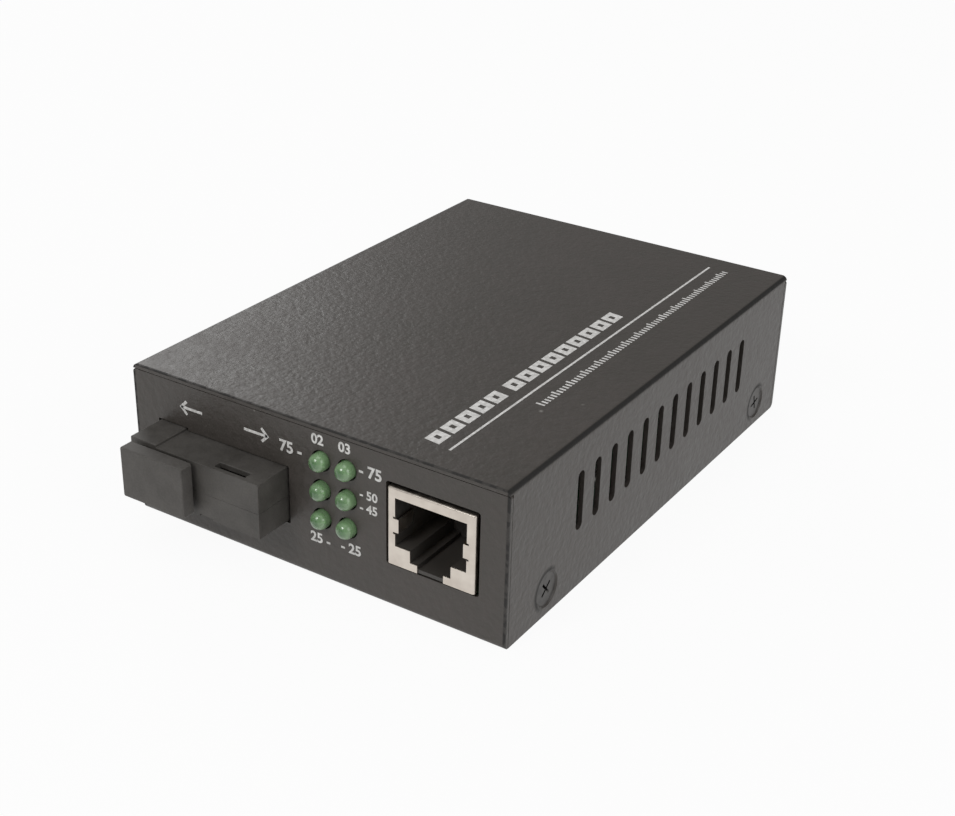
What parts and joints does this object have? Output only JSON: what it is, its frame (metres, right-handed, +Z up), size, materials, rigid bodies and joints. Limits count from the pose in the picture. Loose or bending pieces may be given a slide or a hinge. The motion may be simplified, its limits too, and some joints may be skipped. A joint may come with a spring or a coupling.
{
  "type": "fibre media converter",
  "caption": "Small black steel box that joins a copper network cable to a single optical fibre, with indicator lamps, a capped fibre socket and side vents.",
  "frame": {"origin": "middle of the box's footprint, on the surface it stands on", "axes": "+Z up, front panel faces -Y, network jack towards +X, power inlet towards +Y"},
  "size_m": [0.07, 0.1053, 0.0265],
  "materials": {
    "black_powder_coat": "fine textured powder coat",
    "black_screw": "blackened steel",
    "zinc_steel": "zinc plated",
    "board_green": "solder mask",
    "nickel_shield": "nickel plated sheet",
    "black_moulding": "moulded",
    "module_moulding": "fine grain moulding",
    "gold_contact": "gold plated",
    "green_lens": "tinted clear",
    "tinned_wire": "tinned",
    "ceramic_white": "ground ceramic",
    "bright_metal": "turned",
    "chip_black": "moulded epoxy",
    "capacitor_sleeve": "shrink sleeve",
    "ferrite_grey": "ferrite",
    "chip_ceramic": "ceramic",
    "cap_moulding": "soft moulding"
  },
  "bodies": {
    "chassis": {"top_cover": "black_powder_coat", "base_tray": "black_powder_coat", "cover_screws": "black_screw", "board_standoffs": "zinc_steel", "board_screws": "zinc_steel", "main_board": "board_green", "network_jack_shield": "nickel_shield", "network_jack_housing": "black_moulding", "network_jack_contacts": "gold_contact", "lamp_holder": "black_moulding", "lamp_leads": "tinned_wire", "optic_lower_shell": "module_moulding", "optic_upper_shell": "module_moulding", "ferrule_sleeve": "ceramic_white", "socket_latch": "module_moulding", "optic_coupler": "bright_metal", "laser_can": "bright_metal", "detector_can": "bright_metal", "optic_board": "board_green", "optic_can_leads": "gold_contact", "optic_pins": "tinned_wire", "power_inlet_body": "black_moulding", "power_inlet_pin": "bright_metal", "power_inlet_spring": "tinned_wire", "converter_chip": "chip_black", "converter_chip_leads": "tinned_wire", "magnetics_module": "chip_black", "magnetics_leads": "tinned_wire", "memory_chip": "chip_black", "crystal_can": "bright_metal", "input_capacitor": "capacitor_sleeve", "output_capacitor": "capacitor_sleeve", "power_inductor": "ferrite_grey", "regulator_chip": "chip_black", "regulator_leads": "tinned_wire", "chip_components": "chip_ceramic", "lamp_bottom_left": "green_lens", "lamp_middle_left": "green_lens", "lamp_top_left": "green_lens", "lamp_bottom_right": "green_lens", "lamp_middle_right": "green_lens", "lamp_top_right": "green_lens"},
    "dust_cap": {"dust_cap": "cap_moulding"}
  },
  "joints": [
    {"name": "cap_slide", "type": "slide", "parent": "chassis", "child": "dust_cap", "axis": [0, -1, 0], "range_m": [0, 0.03]}
  ]
}
